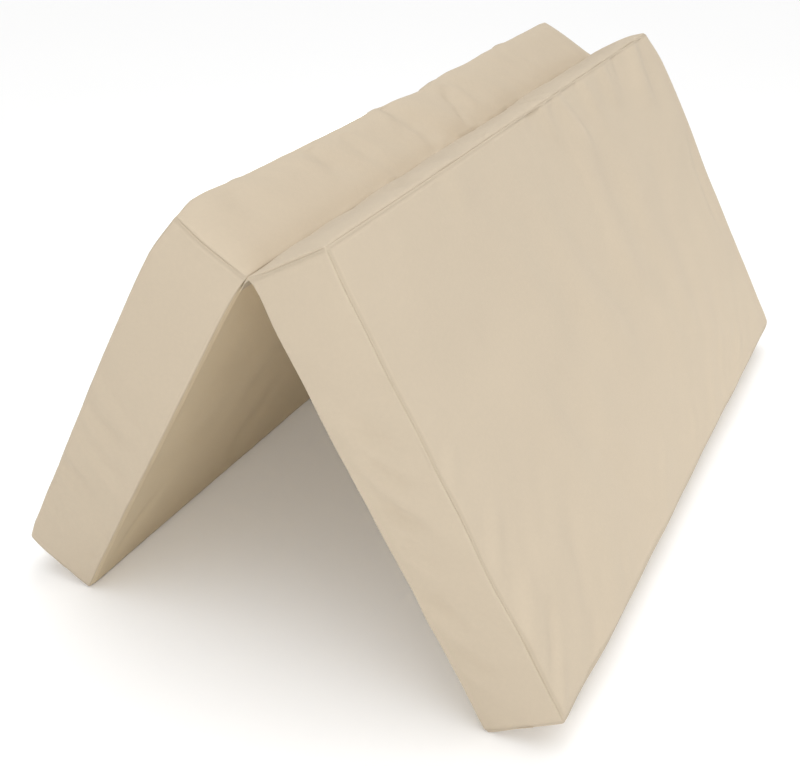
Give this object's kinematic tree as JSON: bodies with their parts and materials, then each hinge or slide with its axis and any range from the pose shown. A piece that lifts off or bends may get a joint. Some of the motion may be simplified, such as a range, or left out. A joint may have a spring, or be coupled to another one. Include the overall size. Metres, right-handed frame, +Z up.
{
  "type": "folding futon mattress",
  "caption": "Folding foam futon mattress in a plain beige fabric cover, its halves hinged along a sewn ridge and standing like a tent.",
  "frame": {"origin": "on the floor, centred under the ridge between the two foot edges", "axes": "+Z up, +Y along the ridge away from the near end, +X towards the right half's foot"},
  "size_m": [0.9198, 1.37, 0.6733],
  "materials": {
    "cover_fabric": "matte",
    "foam": "matte",
    "zip_tape": "matte",
    "zip_coil": "satin",
    "zip_metal": "satin"
  },
  "bodies": {
    "left_half": {"foam_core_left": "foam", "cover_outer_face_left": "cover_fabric", "cover_inner_face_left": "cover_fabric", "boxing_near_end_left": "cover_fabric", "boxing_far_end_left": "cover_fabric", "boxing_hinge_side_left": "cover_fabric", "boxing_foot_outer_left": "cover_fabric", "boxing_foot_inner_left": "cover_fabric", "zip_tape_outer_left": "zip_tape", "zip_tape_inner_left": "zip_tape", "zip_coil_left": "zip_coil", "zip_stops_closed_end_left": "zip_metal", "zip_box_open_end_left": "zip_metal", "hinge_tape_left": "cover_fabric"},
    "left_zip_slider": {"zip_slider_left": "zip_metal"},
    "left_zip_pull": {"zip_pull_left": "zip_metal"},
    "right_half": {"foam_core_right": "foam", "cover_outer_face_right": "cover_fabric", "cover_inner_face_right": "cover_fabric", "boxing_near_end_right": "cover_fabric", "boxing_far_end_right": "cover_fabric", "boxing_hinge_side_right": "cover_fabric", "boxing_foot_outer_right": "cover_fabric", "boxing_foot_inner_right": "cover_fabric", "zip_tape_outer_right": "zip_tape", "zip_tape_inner_right": "zip_tape", "zip_coil_right": "zip_coil", "zip_stops_closed_end_right": "zip_metal", "zip_box_open_end_right": "zip_metal", "hinge_tape_right": "cover_fabric"},
    "right_zip_slider": {"zip_slider_right": "zip_metal"},
    "right_zip_pull": {"zip_pull_right": "zip_metal"}
  },
  "joints": [
    {"name": "fold", "type": "hinge", "parent": "left_half", "child": "right_half", "pos_m": [0, 0, 0.60982], "axis": [0, -1, 0], "range_deg": [-59, 121]},
    {"name": "left_zip_slide", "type": "slide", "parent": "left_half", "child": "left_zip_slider", "axis": [0, -1, 0], "range_m": [0, 1.257]},
    {"name": "left_zip_pull_swing", "type": "hinge", "parent": "left_zip_slider", "child": "left_zip_pull", "pos_m": [-0.40469, 0.6285, 0.02957], "axis": [-0.8704, 0, 0.4924], "range_deg": [-80, 80]},
    {"name": "right_zip_slide", "type": "slide", "parent": "right_half", "child": "right_zip_slider", "axis": [0, -1, 0], "range_m": [0, 1.257]},
    {"name": "right_zip_pull_swing", "type": "hinge", "parent": "right_zip_slider", "child": "right_zip_pull", "pos_m": [0.40469, 0.6285, 0.02957], "axis": [0.8704, 0, 0.4924], "range_deg": [-80, 80]}
  ]
}
